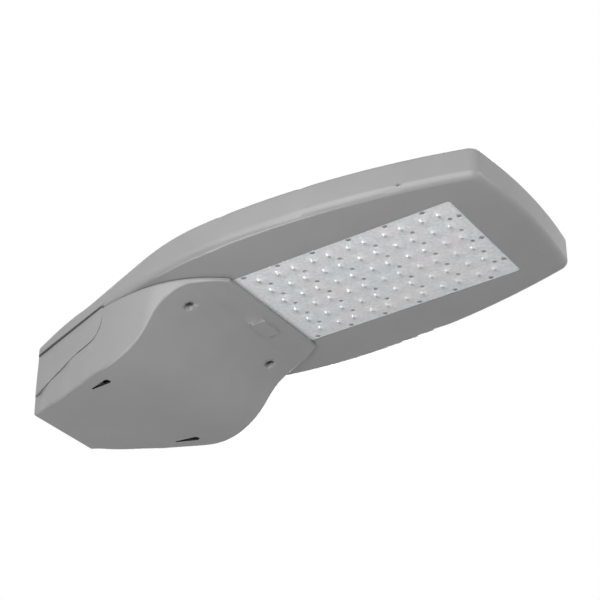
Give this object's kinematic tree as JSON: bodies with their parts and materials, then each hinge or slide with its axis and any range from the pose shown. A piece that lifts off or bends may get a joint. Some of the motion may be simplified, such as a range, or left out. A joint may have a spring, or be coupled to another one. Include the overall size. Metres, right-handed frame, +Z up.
{
  "type": "led street light head",
  "caption": "Cast cobra-head street light: necked body clamped on a horizontal tube arm, bowed front, flat LED lens panel below, and a hinged driver door behind it.",
  "frame": {"origin": "on the arm's axis, midway between the two arm clamps", "axes": "+X along the head towards the lamp end, away from the arm; +Z up; the lens panel faces -Z"},
  "size_m": [0.694, 0.324, 0.1261],
  "materials": {
    "casting": "grey powder coat on a die casting",
    "stainless": "bright",
    "strap": "zinc plated",
    "seal": "matt",
    "lens": "clear moulded sheet",
    "board": "white solder mask",
    "emitter": "phosphor",
    "driver_case": "brushed",
    "black_plastic": "satin",
    "pale_plastic": "matt",
    "brass": "bright"
  },
  "bodies": {
    "head": {"arm_clamp_front": "strap", "arm_clamp_rear": "strap", "arm_seal": "seal", "board_screws": "stainless", "clamp_bolts": "stainless", "driver_screws": "stainless", "ground_screw": "stainless", "hinge_pins": "stainless", "led_board_1": "board", "led_board_2": "board", "led_board_3": "board", "led_board_4": "board", "led_board_5": "board", "led_board_6": "board", "led_chips": "emitter", "led_driver": "driver_case", "lens_gasket": "seal", "lens_plate": "lens", "lens_screws": "stainless", "surge_protector": "black_plastic", "surge_screws": "stainless", "terminal_block": "pale_plastic", "terminal_block_screws": "stainless", "terminal_screws": "brass", "upper_housing": "casting", "wire_grommet": "seal"},
    "door": {"driver_door": "casting", "door_screws": "stainless", "screw_retainers": "stainless"}
  },
  "joints": [
    {"name": "door_hinge", "type": "hinge", "parent": "head", "child": "door", "pos_m": [-0.0645, 0, -0.0405], "axis": [0, 1, 0], "range_deg": [0, 90]}
  ]
}
